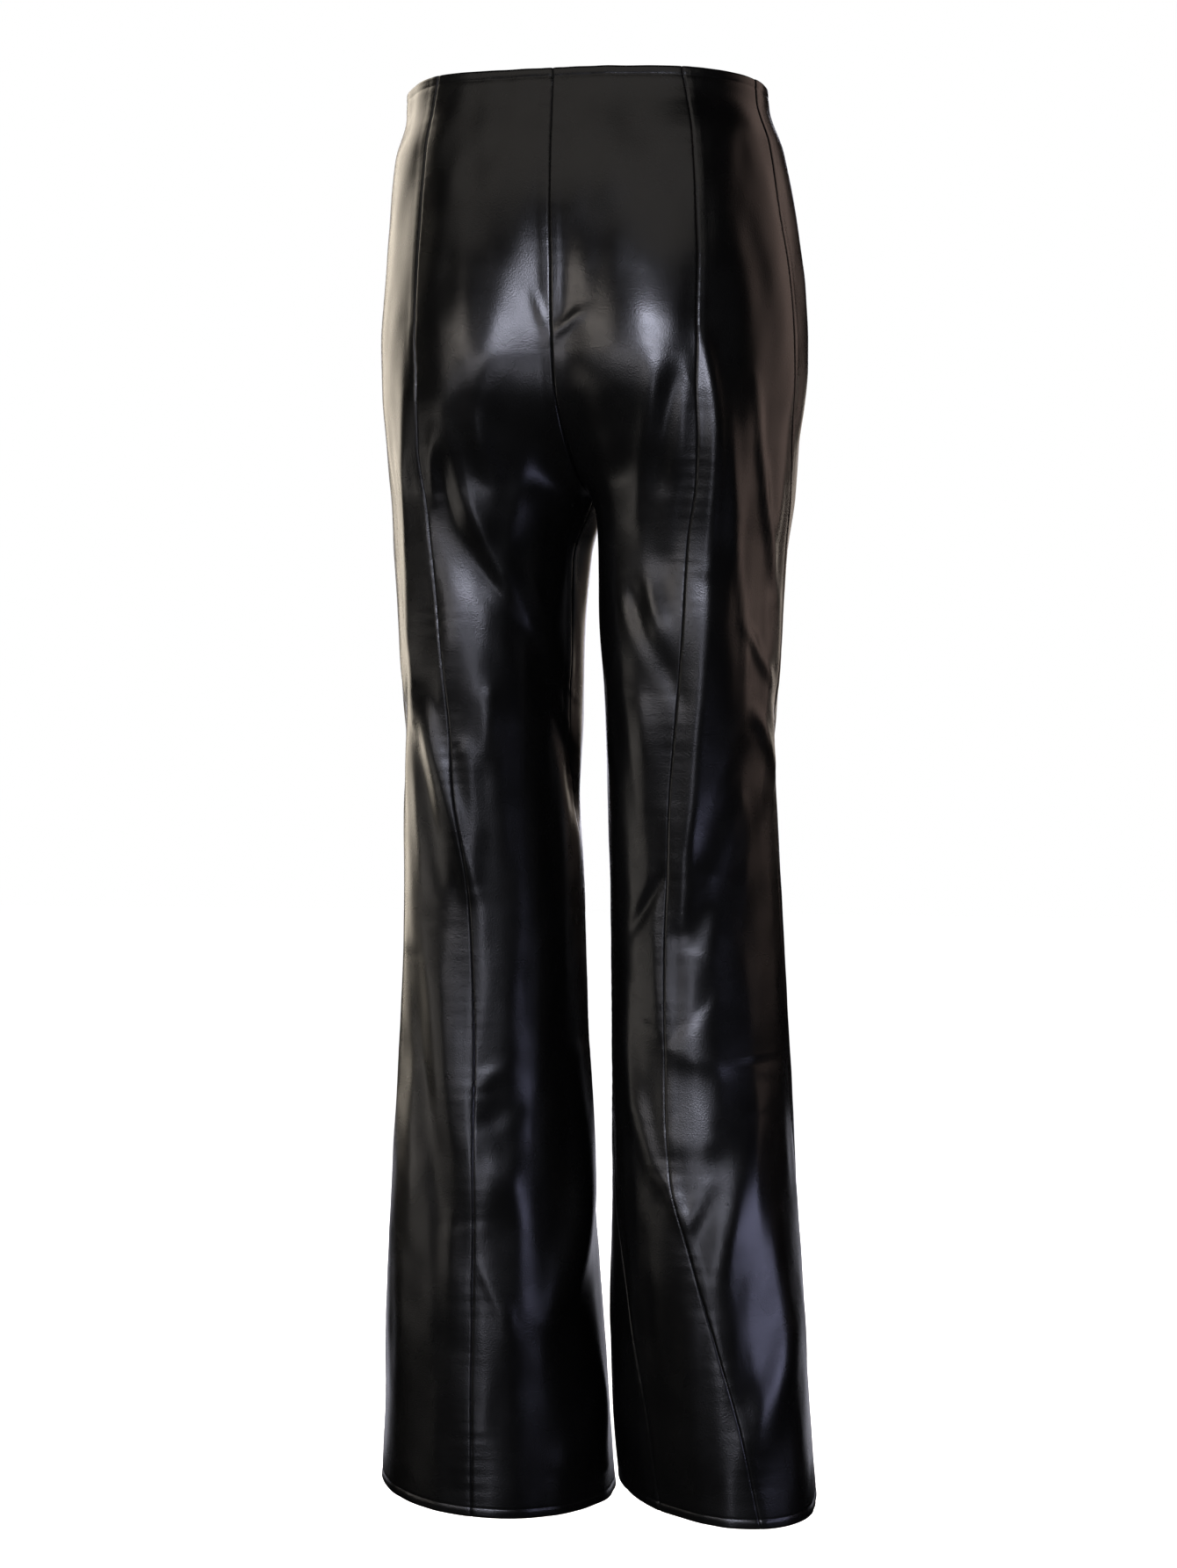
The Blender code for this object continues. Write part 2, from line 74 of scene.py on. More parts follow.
# Leg sections. out: the middle's distance from the midline. fore: towards -Y. yaw: the back's turn
# outwards, in degrees. inseam, princess and side: each seam's place round the leg from its back,
# outwards, in degrees.
LEG_COLUMNS = (
    "drop", "out", "fore", "half_width", "back", "front", "squareness", "yaw", "inseam", "princess", "side",
)
LEFT_LEG = (
    (0.200, 0.0693, -0.004, 0.0790, 0.112, 0.090, 2.2, 0, -80, 20, 88),
    (0.265, 0.0693, 0.002, 0.0780, 0.1035, 0.086, 2.2, 0, -80, 20, 88),
    (0.300, 0.0685, 0.006, 0.0768, 0.0980, 0.083, 2.2, 0, -80, 18, 87),
    (0.340, 0.0734, 0.008, 0.0705, 0.0935, 0.080, 2.2, 0, -78, 13, 86),
    (0.400, 0.0745, 0.010, 0.0662, 0.0895, 0.077, 2.2, 0, -81, 9, 85),
    (0.460, 0.0751, 0.0130, 0.0645, 0.0865, 0.075, 2.2, 0, -82, 5, 84),
    (0.520, 0.0773, 0.0170, 0.0635, 0.0840, 0.075, 2.2, 0, -94, 1, 82),
    (0.600, 0.0776, 0.0220, 0.0656, 0.0815, 0.077, 2.2, 0, -107, -5, 80),
    (0.700, 0.0788, 0.0260, 0.0686, 0.0825, 0.080, 2.2, 0, -111, -8, 77),
    (0.800, 0.0808, 0.0280, 0.0730, 0.0875, 0.085, 2.2, 0, -111, -9, 74),
    (0.900, 0.0808, 0.0290, 0.0790, 0.0915, 0.090, 2.1, 0, -110, -9, 72),
    (0.970, 0.0788, 0.0295, 0.0832, 0.095, 0.093, 2.0, 0, -109, -8, 71),
    (1.045, 0.0766, 0.0300, 0.0876, 0.098, 0.096, 2.0, 0, -108, -7, 70),
)
RIGHT_LEG = (
    (0.200, 0.0820, -0.004, 0.0770, 0.112, 0.090, 2.2, 0, -80, 20, 86),
    (0.265, 0.0810, 0.002, 0.0745, 0.1035, 0.086, 2.2, 0, -80, 20, 88),
    (0.300, 0.0822, 0.006, 0.0702, 0.0980, 0.083, 2.2, 0, -80, 18, 92),
    (0.340, 0.0800, 0.008, 0.0665, 0.0935, 0.080, 2.2, 0, -80, 15, 97),
    (0.400, 0.0780, 0.010, 0.0638, 0.0895, 0.077, 2.2, 0, -81, 13, 99),
    (0.460, 0.0785, 0.0130, 0.0608, 0.0865, 0.075, 2.2, 0, -82, 8, 99),
    (0.520, 0.0780, 0.0170, 0.0595, 0.0840, 0.075, 2.2, 0, -83, 3, 98),
    (0.600, 0.0785, 0.0220, 0.0605, 0.0815, 0.077, 2.2, 1, -83, -2, 96),
    (0.700, 0.0810, 0.0260, 0.0642, 0.0825, 0.082, 2.2, 5, -82, -9, 92),
    (0.800, 0.0830, 0.0280, 0.0675, 0.094, 0.092, 2.2, 14, -76, -17, 89),
    (0.850, 0.0835, 0.0285, 0.0688, 0.098, 0.096, 2.2, 20, -70, -14, 88),
    (0.910, 0.0847, 0.0290, 0.0705, 0.102, 0.100, 2.1, 25, -63, -9, 88),
    (0.970, 0.0872, 0.0295, 0.0705, 0.106, 0.104, 2.0, 28, -58, -3, 88),
    (1.045, 0.0931, 0.0300, 0.0690, 0.110, 0.106, 2.0, 30, -57, 2, 88),
)

# Hem edges: the drop all round, and how much lower it lies at the back and at the outer side
HEM = {"left": (1.0336, 0.006, -0.007), "right": (1.0285, 0.007, 0.002)}
# Waist edge: how far it rises above the level at the centre back, the princess seam and the side
WAIST_RISE = {"left": (0.0, 0.003, 0.0), "right": (0.0, -0.002, -0.0035)}

# Soft swells where the cloth is filled out, or hollows where the height is below 0. view, across
# and drop place the middle as FOLDS does.
SWELL_COLUMNS = ("view", "across", "drop", "half_across", "half_drop", "height")
SWELLS = (
    ("back", -0.060, 0.200, 0.036, 0.045, 0.0015),
    ("back", 0.052, 0.195, 0.036, 0.045, 0.0014),
    ("back", 0.093, 0.285, 0.022, 0.050, 0.0060),
    ("back", 0.092, 0.385, 0.022, 0.075, 0.0070),
    ("back", 0.088, 0.500, 0.024, 0.090, 0.0050),
    ("back", -0.095, 0.418, 0.020, 0.045, 0.0022),
    ("back", 0.049, 0.405, 0.014, 0.027, 0.0030),
    ("back", 0.050, 0.353, 0.022, 0.032, -0.0030),
    ("back", 0.085, 0.718, 0.034, 0.050, 0.0030),
    ("back", -0.060, 0.800, 0.018, 0.020, 0.0030),
)

# The largest folds, each a soft ridge, or a trough where its height is below 0. A fold is placed by
# where it shows in a level view from one of four sides, named here with its direction in degrees
# round from the front: across is to the right in that view, and the fold runs through a start, a
# middle and an end.
FOLD_STEPS = 16
FOLD_REACH = 2.5  # in half widths, past which a fold adds nothing
FOLD_END = 0.06  # how far into its rise a fold starts and ends
FOLD_TAPER = 0.8  # under 1, a fold is blunter at its ends than a sine
FULL_FACING = 0.35  # how squarely the surface faces the view where a fold has its whole height
VIEW_TURN = {"front": 16.7, "left": 106.7, "back": 196.7, "right": 286.7}
FOLD_COLUMNS = (
    "view", "across_0", "drop_0", "across_1", "drop_1", "across_2", "drop_2", "half_width", "height", "lean",
)
FOLDS = (
    ("back", -0.104, 0.306, -0.074, 0.358, -0.017, 0.437, 0.0120, -0.0036, 0.4),
    ("back", -0.101, 0.262, -0.083, 0.312, -0.062, 0.355, 0.008, 0.0030, 0.0),
    ("back", -0.121, 0.447, -0.106, 0.500, -0.083, 0.588, 0.0085, 0.0055, 0.0),
    ("back", -0.1285, 0.190, -0.1285, 0.313, -0.1240, 0.460, 0.0080, 0.0032, 0.0),
    ("back", -0.104, 0.615, -0.097, 0.718, -0.084, 0.828, 0.016, 0.0045, 0.0),
    ("back", -0.128, 0.640, -0.118, 0.734, -0.104, 0.828, 0.009, -0.0025, 0.0),
    ("back", -0.002, 0.715, -0.004, 0.815, -0.019, 0.900, 0.0115, 0.0095, 0.0),
    ("back", -0.082, 0.757, -0.066, 0.752, -0.042, 0.738, 0.010, -0.0013, 0.0),
    ("back", 0.048, 0.210, 0.0455, 0.258, 0.036, 0.318, 0.008, 0.0032, 0.0),
    ("back", 0.069, 0.226, 0.058, 0.245, 0.053, 0.298, 0.009, -0.0026, 0.0),
    ("back", 0.082, 0.200, 0.089, 0.265, 0.0845, 0.359, 0.006, 0.0042, 0.0),
    ("back", 0.028, 0.368, 0.0425, 0.402, 0.0665, 0.452, 0.0075, -0.0028, 0.0),
    ("back", 0.118, 0.477, 0.095, 0.531, 0.083, 0.575, 0.010, -0.0040, 0.0),
    ("back", 0.130, 0.531, 0.088, 0.597, 0.072, 0.632, 0.012, -0.0022, 0.0),
    ("back", 0.059, 0.694, 0.077, 0.705, 0.102, 0.708, 0.024, 0.0022, -0.6),
    ("back", 0.055, 0.759, 0.077, 0.766, 0.0995, 0.759, 0.022, 0.0014, -0.55),
    ("back", 0.128, 0.723, 0.114, 0.795, 0.094, 0.862, 0.0140, 0.0040, 0.0),
    ("back", 0.150, 0.890, 0.135, 0.940, 0.118, 0.985, 0.013, 0.0038, 0.0),
    ("back", 0.0275, 0.657, 0.035, 0.735, 0.0525, 0.795, 0.007, 0.0035, 0.0),
    ("front", -0.120, 0.255, -0.075, 0.300, -0.025, 0.318, 0.014, -0.0040, 0.0),
    ("front", 0.120, 0.250, 0.070, 0.292, 0.022, 0.315, 0.013, -0.0035, 0.0),
    ("front", -0.050, 0.470, -0.075, 0.520, -0.115, 0.545, 0.014, -0.0040, 0.0),
    ("front", 0.040, 0.500, 0.075, 0.530, 0.110, 0.575, 0.013, -0.0040, 0.0),
    ("front", -0.040, 0.760, -0.062, 0.850, -0.060, 0.960, 0.016, 0.0045, 0.0),
    ("front", 0.090, 0.700, 0.105, 0.820, 0.125, 0.940, 0.015, 0.0045, 0.0),
    ("left", 0.020, 0.420, -0.020, 0.500, -0.045, 0.560, 0.013, -0.0040, 0.0),
    ("right", -0.030, 0.430, 0.010, 0.500, 0.040, 0.540, 0.013, -0.0040, 0.0),
)


def curve_through(columns, rows):
    """Column name -> a smooth function of drop through the table's rows, with no overshoot."""
    table = np.array(rows, float)
    drop = table[:, 0]
    step = np.diff(drop)

    def column(values):
        slope = np.diff(values) / step
        tangent = np.zeros(len(values))
        tangent[0], tangent[-1] = slope[0], slope[-1]
        same_way = slope[1:] * slope[:-1] > 0
        total = np.where(same_way, slope[1:] + slope[:-1], 1.0)
        tangent[1:-1] = np.where(same_way, 2 * slope[1:] * slope[:-1] / total, 0.0)

        def value(at):
            at = np.clip(at, drop[0], drop[-1])
            i = np.clip(np.searchsorted(drop, at, side="right") - 1, 0, len(step) - 1)
            t = (at - drop[i]) / step[i]
            return (
                values[i] * (1 + 2 * t) * (1 - t) ** 2
                + values[i + 1] * t * t * (3 - 2 * t)
                + step[i] * t * (1 - t) * ((1 - t) * tangent[i] - t * tangent[i + 1])
            )

        return value

    return {name: column(table[:, k]) for k, name in enumerate(columns) if k}


def smooth(t):
    t = np.clip(t, 0.0, 1.0)
    return t * t * (3 - 2 * t)


def rounded(value, exponent):
    """The outline's coordinate for a sine or cosine, squarer than an ellipse above exponent 2."""
    return np.sign(value) * np.abs(value) ** (2 / exponent)


HIP_CURVE = curve_through(HIP_COLUMNS, HIP)
LEG_CURVE = {"left": curve_through(LEG_COLUMNS, LEFT_LEG), "right": curve_through(LEG_COLUMNS, RIGHT_LEG)}
SIDE_SIGN = {"left": 1.0, "right": -1.0}


def seams_round_hip(drop):
    """Places of the centre back, princess, side and centre front seams, in degrees from the back."""
    share = HIP_CURVE["princess"](drop) / HIP_CURVE["half_width"](drop)
    princess = np.degrees(np.arcsin(share ** (HIP_CURVE["squareness"](drop) / 2)))
    return np.zeros_like(drop), princess, HIP_CURVE["side"](drop), np.full_like(drop, 180.0)


def seams_round_leg(leg, drop):
    """Places of the inseam, princess and side seams and the inseam again, in degrees from the back."""
    curve = LEG_CURVE[leg]
    inseam = curve["inseam"](drop)
    return inseam, curve["princess"](drop), curve["side"](drop), inseam + 360.0


def between(seams, panel, share):
    """The place a share of the way across a panel, from the seam nearer the back."""
    first = {"back_centre": 0, "back_side": 1, "front": 2}[panel]
    return np.radians(seams[first] * (1 - share) + seams[first + 1] * share)


def hip_point(leg, panel, share, drop):
    """A point of one hip section."""
    turn = between(seams_round_hip(drop), panel, share)
    exponent = HIP_CURVE["squareness"](drop)
    across = HIP_CURVE["half_width"](drop) * rounded(np.sin(turn), exponent)
    depth = np.where(np.cos(turn) > 0, HIP_CURVE["back"](drop), HIP_CURVE["front"](drop))
    along = depth * rounded(np.cos(turn), exponent)
    cleft = HIP_CURVE["cleft"](drop) * np.exp(-((across / CLEFT_HALF_WIDTH) ** 2)) * (np.cos(turn) > 0)
    x = SIDE_SIGN[leg] * across + HIP_CURVE["sway"](drop)
    return np.stack([x, along - cleft, -drop], axis=-1)


def leg_point(leg, panel, share, drop):
    """A point of one leg section."""
    curve = LEG_CURVE[leg]
    turn = between(seams_round_leg(leg, drop), panel, share)
    exponent = curve["squareness"](drop)
    across = curve["half_width"](drop) * rounded(np.sin(turn), exponent)
    depth = np.where(np.cos(turn) > 0, curve["back"](drop), curve["front"](drop))
    along = depth * rounded(np.cos(turn), exponent)
    yaw = np.radians(curve["yaw"](drop))
    out = curve["out"](drop) + across * np.cos(yaw) + along * np.sin(yaw)
    back = along * np.cos(yaw) - across * np.sin(yaw) - curve["fore"](drop)
    # The inseam starts on the midline, at the crotch, and leaves it in a small arch
    from_inseam = (turn - np.radians(curve["inseam"](drop)) + math.pi) % (2 * math.pi) - math.pi
    pull = np.exp(-((from_inseam / CROTCH_ARCH_TURN) ** 2) - np.clip(drop - RISE, 0, None) / CROTCH_ARCH_DROP)
    midline = HIP_CURVE["sway"](np.full_like(drop, RISE))
    x = SIDE_SIGN[leg] * out * (1 - pull) + midline * pull
    return np.stack([x, back, -drop], axis=-1)


def near_midline(panel, share):
    """1 at the centre seams, falling to 0 on the way to the next seam."""
    if panel == "back_side":
        return np.zeros_like(share)
    from_centre = share if panel == "back_centre" else 1 - share
    return smooth(1 - from_centre / CENTRE_REACH[panel]) ** 2


def row_drop(leg, panel, share, row):
    """How far down a point lies. row runs 0 to 1 over the hips, to 2 at the crotch and 3 at the hem."""
    centre, princess, side = WAIST_RISE[leg]
    ends = {"back_centre": (centre, princess), "back_side": (princess, side), "front": (side, 0.0)}[panel]
    waist = -(ends[0] + (ends[1] - ends[0]) * smooth(share))
    crotch_share = np.clip(row - 1, 0, 1)
    dip = np.sin(np.pi / 2 * crotch_share) - crotch_share
    in_crotch = SEAT_DROP + (RISE - SEAT_DROP) * (crotch_share + dip * near_midline(panel, share))
    low_back, low_side = HEM[leg][1:]
    turn = between(seams_round_leg(leg, np.full_like(row, HEM[leg][0])), panel, share)
    hem = HEM[leg][0] + low_back * np.cos(turn) + low_side * np.sin(turn)
    on_hip = waist + (SEAT_DROP - waist) * np.clip(row, 0, 1)
    on_leg = RISE + (hem - RISE) * np.clip(row - 2, 0, 1)
    return np.where(row <= 1, on_hip, np.where(row <= 2, in_crotch, on_leg))


def smooth_point(leg, panel, share, row):
    """A point of the outer surface before it is creased."""
    share, row = np.broadcast_arrays(share, row)
    drop = row_drop(leg, panel, share, row)
    # The columns crowd towards the centre seams over the seat, to lie above their places on the leg
    crowding = {"back_centre": -CROWDING, "back_side": 0.0, "front": CROWDING}[panel] * smooth(row)
    hip = hip_point(leg, panel, share + crowding * share * (1 - share), np.clip(drop, 0, None))
    hip[..., 2] = -drop
    # The hip section turns into the leg's ring: evenly outside, and round the crotch curve inside
    crotch_share = np.clip(row - 1, 0, 1)
    inside = near_midline(panel, share)
    legness = smooth(crotch_share) * (1 - inside) + (1 - np.cos(np.pi / 2 * crotch_share)) * inside
    legness = legness[..., None]
    return hip * (1 - legness) + leg_point(leg, panel, share, drop) * legness


def smooth_normal(leg, panel, share, row):
    """The way out of the surface, level across the midline wherever the two halves meet."""
    step = 0.004
    low, high = np.clip(share - step, 0, 1), np.clip(share + step, 0, 1)
    across = smooth_point(leg, panel, high, row) - smooth_point(leg, panel, low, row)
    low, high = np.clip(row - step, 0, 3), np.clip(row + step, 0, 3)
    down = smooth_point(leg, panel, share, high) - smooth_point(leg, panel, share, low)
    normal = np.cross(across, down) * SIDE_SIGN[leg]
    from_midline = {"back_centre": share, "back_side": 1 + share, "front": 1 - share}[panel]
    normal[..., 0] *= np.where((row <= 2) & (from_midline < 1e-6), 0.0, 1.0)
    return normal / np.linalg.norm(normal, axis=-1, keepdims=True)


def level_view(view):
    """The directions towards the viewer and to the viewer's right."""
    turn = math.radians(VIEW_TURN[view])
    return np.array([math.sin(turn), -math.cos(turn), 0.0]), np.array([math.cos(turn), math.sin(turn), 0.0])


def swell_height(points, normals):
    """How far the swells raise the surface at each point."""
    total = np.zeros(points.shape[:-1])
    for row in SWELLS:
        swell = dict(zip(SWELL_COLUMNS, row))
        to_viewer, right = level_view(swell["view"])
        across = (points @ right - swell["across"]) / swell["half_across"]
        down = (-points[..., 2] - swell["drop"]) / swell["half_drop"]
        total += swell["height"] * smooth(normals @ to_viewer / FULL_FACING) * np.exp(-(across**2) - down**2)
    return total


def fold_height(points, normals, folds):
    """How far the folds raise the surface at each point."""
    total = np.zeros(points.shape[:-1])
    for row in folds:
        fold = dict(zip(FOLD_COLUMNS, row))
        to_viewer, right = level_view(fold["view"])
        start, middle, end = (np.array([fold[f"across_{k}"], fold[f"drop_{k}"]]) for k in range(3))
        t = np.linspace(0, 1, FOLD_STEPS + 1)[:, None]
        control = 2 * middle - (start + end) / 2
        path = (1 - t) ** 2 * start + 2 * t * (1 - t) * control + t**2 * end
        step = np.diff(path, axis=0)
        seen = np.stack([points @ right, -points[..., 2]], axis=-1)
        reach = FOLD_REACH * fold["half_width"] * (1 + abs(fold["lean"]))
        near = ((seen > path.min(axis=0) - reach) & (seen < path.max(axis=0) + reach)).all(axis=-1)
        near &= normals @ to_viewer > 0
        if not near.any():
            continue
        offset = seen[near][:, None, :] - path[:-1]
        along = np.clip((offset * step).sum(axis=-1) / (step**2).sum(axis=-1), 0, 1)
        away = offset - along[..., None] * step
        distance = np.linalg.norm(away, axis=-1)
        nearest = distance.argmin(axis=-1)
        each = np.arange(len(nearest))
        place = (nearest + along[each, nearest]) / FOLD_STEPS
        beside = away[each, nearest]
        run = step[nearest]
        side = np.sign(run[:, 0] * beside[:, 1] - run[:, 1] * beside[:, 0])
        width = fold["half_width"] * (1 + side * fold["lean"])
        taper = np.sin(np.pi * (FOLD_END + (1 - 2 * FOLD_END) * place)) ** FOLD_TAPER
        facing = smooth(normals[near] @ to_viewer / FULL_FACING)
        total[near] += fold["height"] * facing * taper * np.exp(-((distance[each, nearest] / width) ** 2))
    return total


# Creases that are too fine for the solids, in the same columns as FOLDS
CREASES = (
    ("back", -0.1255, 0.472, -0.118, 0.515, -0.106, 0.584, 0.0060, -0.0025, 0.0),
    ("back", -0.094, 0.832, -0.0945, 0.870, -0.096, 0.908, 0.0100, 0.0020, 0.0),
    ("back", -0.100, 0.272, -0.101, 0.293, -0.094, 0.318, 0.0060, -0.0028, 0.0),
    ("back", -0.109, 0.255, -0.110, 0.280, -0.109, 0.305, 0.0030, 0.0012, 0.0),
    ("back", -0.081, 0.245, -0.073, 0.274, -0.058, 0.305, 0.0060, 0.0020, 0.0),
    ("back", -0.0725, 0.440, -0.070, 0.462, -0.0745, 0.495, 0.0070, 0.0018, 0.0),
    ("back", -0.0905, 0.481, -0.083, 0.505, -0.079, 0.575, 0.0070, 0.0022, 0.0),
    ("back", -0.042, 0.359, -0.033, 0.380, -0.026, 0.396, 0.0050, 0.0015, 0.0),
    ("back", -0.026, 0.428, -0.017, 0.455, -0.009, 0.481, 0.0030, 0.0010, 0.0),
    ("back", -0.008, 0.353, -0.006, 0.390, -0.002, 0.446, 0.0030, 0.0010, 0.0),
    ("back", -0.079, 0.730, -0.070, 0.724, -0.0575, 0.716, 0.0070, 0.0010, 0.0),
    ("back", -0.076, 0.861, -0.060, 0.894, -0.054, 0.920, 0.0050, 0.0015, 0.0),
    ("back", 0.023, 0.930, 0.004, 0.987, -0.013, 1.020, 0.0140, 0.0038, 0.0),
    ("back", 0.088, 0.203, 0.094, 0.265, 0.0905, 0.390, 0.0050, -0.0018, 0.0),
    ("back", 0.0845, 0.359, 0.079, 0.453, 0.0675, 0.609, 0.0070, 0.0030, 0.0),
    ("back", 0.071, 0.216, 0.064, 0.265, 0.056, 0.340, 0.0070, 0.0020, 0.0),
    ("back", 0.0375, 0.447, 0.0425, 0.484, 0.0425, 0.534, 0.0100, 0.0020, 0.0),
    ("back", 0.021, 0.415, 0.017, 0.453, 0.0225, 0.515, 0.0030, 0.0010, 0.0),
    ("back", 0.032, 0.619, 0.043, 0.597, 0.054, 0.575, 0.0040, -0.0018, 0.0),
    ("back", 0.093, 0.214, 0.098, 0.285, 0.102, 0.345, 0.0055, 0.0020, 0.0),
    ("back", 0.119, 0.226, 0.128, 0.310, 0.138, 0.378, 0.0034, 0.0022, 0.0),
    ("back", 0.101, 0.332, 0.110, 0.410, 0.107, 0.475, 0.0034, 0.0016, 0.0),
    ("back", 0.110, 0.396, 0.122, 0.415, 0.136, 0.440, 0.0040, 0.0018, 0.0),
    ("back", -0.1290, 0.230, -0.1285, 0.340, -0.1235, 0.480, 0.0030, 0.0014, 0.0),
    ("back", 0.112, 0.520, 0.117, 0.560, 0.113, 0.610, 0.0034, 0.0012, 0.0),
    ("back", 0.121, 0.457, 0.131, 0.480, 0.137, 0.503, 0.0040, 0.0020, 0.0),
    ("back", 0.056, 0.787, 0.063, 0.809, 0.071, 0.828, 0.0060, 0.0016, 0.0),
    ("back", 0.087, 0.789, 0.080, 0.809, 0.071, 0.828, 0.0060, 0.0016, 0.0),
    ("back", -0.037, 0.163, -0.033, 0.176, -0.029, 0.188, 0.0030, 0.0010, 0.0),
    ("back", -0.0225, 0.196, -0.012, 0.187, -0.001, 0.179, 0.0040, 0.0015, 0.0),
)

# Sewing and edges, in metres
CUT_EDGE_GAP = 0.0001
GROOVE_DEPTH, GROOVE_WIDTH = 0.0006, 0.0006
GROOVE_EXPONENT = 1.4  # of its profile, between a crease and a round trough
ALLOWANCE = 0.007  # seam allowance pressed to one side under the panel
ALLOWANCE_HEIGHT = 0.00022
ALLOWANCE_START, ALLOWANCE_RISE, ALLOWANCE_FALL = 0.0004, 0.0012, 0.002  # its soft edges
PUCKER_HEIGHT, PUCKER_REACH, PUCKER_STEP = 0.00044, 0.010, 0.009
PUCKER_KNOTS = 260  # enough for the longest seam
PUCKER_SPREAD = (0.55, 1.5)  # shortest and longest step, as a share of PUCKER_STEP
EDGE_ROLL = 0.0016  # where the waist and the hem turn under
WAIST_ROLL_DEPTH, HEM_ROLL_DEPTH = 0.0010, 0.0003
WAIST_LINE, WAIST_LINE_DEPTH, WAIST_LINE_WIDTH = 0.0068, 0.00035, 0.0011  # understitched line
HEM_TURN = 0.0065  # from the edge up to the hem's stitches
HEM_STEP, HEM_STEP_WIDTH = 0.0002, 0.002  # the doubled cloth below them
HEM_LINE_DEPTH, HEM_LINE_WIDTH = 0.0004, 0.0008
TURNED_FACING = 0.030  # coated side that shows inside each turned edge
RIM_ANGLE = math.radians(55)  # edges sharper than this stay crisp

# Small unevenness of the worn cloth, in metres. Each row has its own seed. stretch lengthens the
# waves downwards, and legs_only leaves the taut hips out.
WAVE_SPREAD = (0.7, 1.6)  # shortest and longest wave in a row, as a share of its wavelength
WAVE_COLUMNS = ("height", "seed", "count", "wavelength", "stretch", "legs_only")
WAVES = (
    (0.00060, 11, 14, 0.060, 2.6, False),
    (0.00028, 13, 16, 0.030, 3.5, False),
    (0.00016, 12, 18, 0.020, 2.0, False),
    (0.00024, 17, 16, 0.018, 9.0, True),
)

# Columns stand close beside the seams, at these distances, and evenly between
SEAM_COLUMNS = (0.0, 0.0004, 0.0009, 0.0015, 0.0023, 0.0033, 0.0046, 0.0062, 0.0080, 0.0105)
MIDDLE_COLUMNS = {"back_centre": 22, "back_side": 22, "front": 56}
NOMINAL_WIDTH = {"back_centre": 0.100, "back_side": 0.100, "front": 0.240}
ROW_SPACING = 0.0028
EDGE_ROWS = (0.0, 0.0005, 0.0011, 0.0018, 0.0026, 0.0036, 0.0050, 0.0060, 0.0066, 0.0073, 0.0085)


def column_shares(panel):
    near = np.array(SEAM_COLUMNS) / NOMINAL_WIDTH[panel]
    middle = np.linspace(near[-1], 1 - near[-1], MIDDLE_COLUMNS[panel] + 2)[1:-1]
    return np.concatenate([near, middle, 1 - near[::-1]])


def sheet_rows(leg):
    """Row places from the waist, 0, to the hem, 3, close together at both edges."""
    leg_length = HEM[leg][0] - RISE
    top = np.array(EDGE_ROWS) / SEAT_DROP
    bottom = 3 - np.array(EDGE_ROWS[::-1]) / leg_length
    hips = np.arange(top[-1] + ROW_SPACING / SEAT_DROP, 1, ROW_SPACING / SEAT_DROP)
    crotch = np.arange(1, 2, ROW_SPACING / (RISE - SEAT_DROP))
    legs = np.arange(2, bottom[0] - 0.5 * ROW_SPACING / leg_length, ROW_SPACING / leg_length)
    return np.concatenate([top, hips, crotch, legs, bottom])


def wave_sum(points, seed, count, wavelength, stretch):
    """A smooth unevenness between about -1 and 1. stretch lengthens its waves downwards."""
    rng = np.random.default_rng(seed)
    directions = rng.normal(size=(count, 3))
    directions /= np.linalg.norm(directions, axis=1, keepdims=True)
    directions[:, 2] /= stretch
    rates = 2 * math.pi / (wavelength * rng.uniform(*WAVE_SPREAD, count))
    shifts = rng.uniform(0, 2 * math.pi, count)
    total = np.zeros(points.shape[:-1])
    for direction, rate, shift in zip(directions, rates, shifts):
        total += np.sin(points @ direction * rate + shift)
    return total / math.sqrt(count)


def along_seam(drop, seed, step):
    """A jittered ripple down a seam, between 0 and 1, the same for both panels that meet there."""
    rng = np.random.default_rng(seed)
    knots = np.cumsum(rng.uniform(*PUCKER_SPREAD, PUCKER_KNOTS)) * step
    heights = rng.uniform(0.0, 1.0, PUCKER_KNOTS) ** 1.5
    i = np.clip(np.searchsorted(knots, drop) - 1, 0, PUCKER_KNOTS - 2)
    t = np.clip((drop - knots[i]) / (knots[i + 1] - knots[i]), 0, 1)
    return (heights[i] * (1 - t) + heights[i + 1] * t) * np.sin(np.pi * t) ** 2


# Each panel's two seams. ripple: the seam's number, for its own puckers. pucker: how strong they
# are. allowance: the share of it that lies under this panel.
PANEL_SEAM_COLUMNS = ("ripple", "pucker", "allowance")
PANEL_SEAMS = {
    "back_centre": ((1, 0.9, 1.0), (2, 1.0, 0.0)),
    "back_side": ((2, 1.0, 1.0), (3, 0.5, 0.0)),
    "front": ((3, 0.5, 1.0), (4, 0.8, 0.5)),
}


